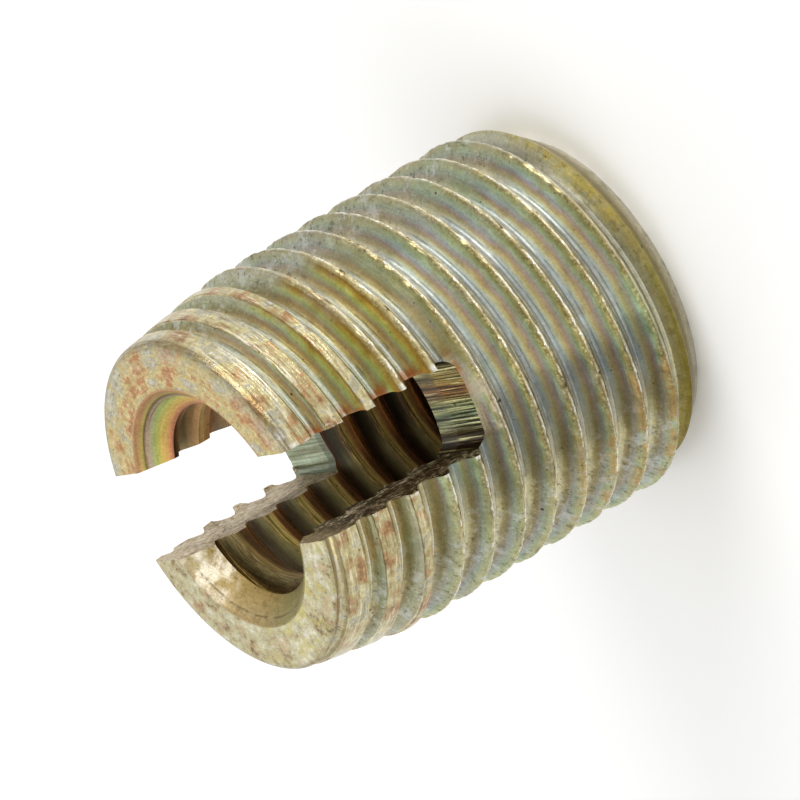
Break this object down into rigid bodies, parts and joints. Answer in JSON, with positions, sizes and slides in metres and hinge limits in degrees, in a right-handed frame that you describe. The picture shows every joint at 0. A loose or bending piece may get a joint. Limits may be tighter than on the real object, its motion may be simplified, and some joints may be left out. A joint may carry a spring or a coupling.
{
  "type": "self-tapping threaded insert",
  "caption": "Slotted self-tapping steel insert with a cutting thread outside and a machine thread inside, zinc plated with a yellow iridescent finish.",
  "frame": {"origin": "centre of the plain end, which the insert stands on", "axes": "+Z along the thread axis to the slotted end, X along the slot"},
  "size_m": [0.005, 0.005, 0.006],
  "materials": {
    "yellow_zinc": "case-hardened steel, zinc plated with a yellow iridescent passivation, worn bright on the crests"
  },
  "bodies": {
    "root": {"threaded_insert": "yellow_zinc"}
  },
  "joints": []
}
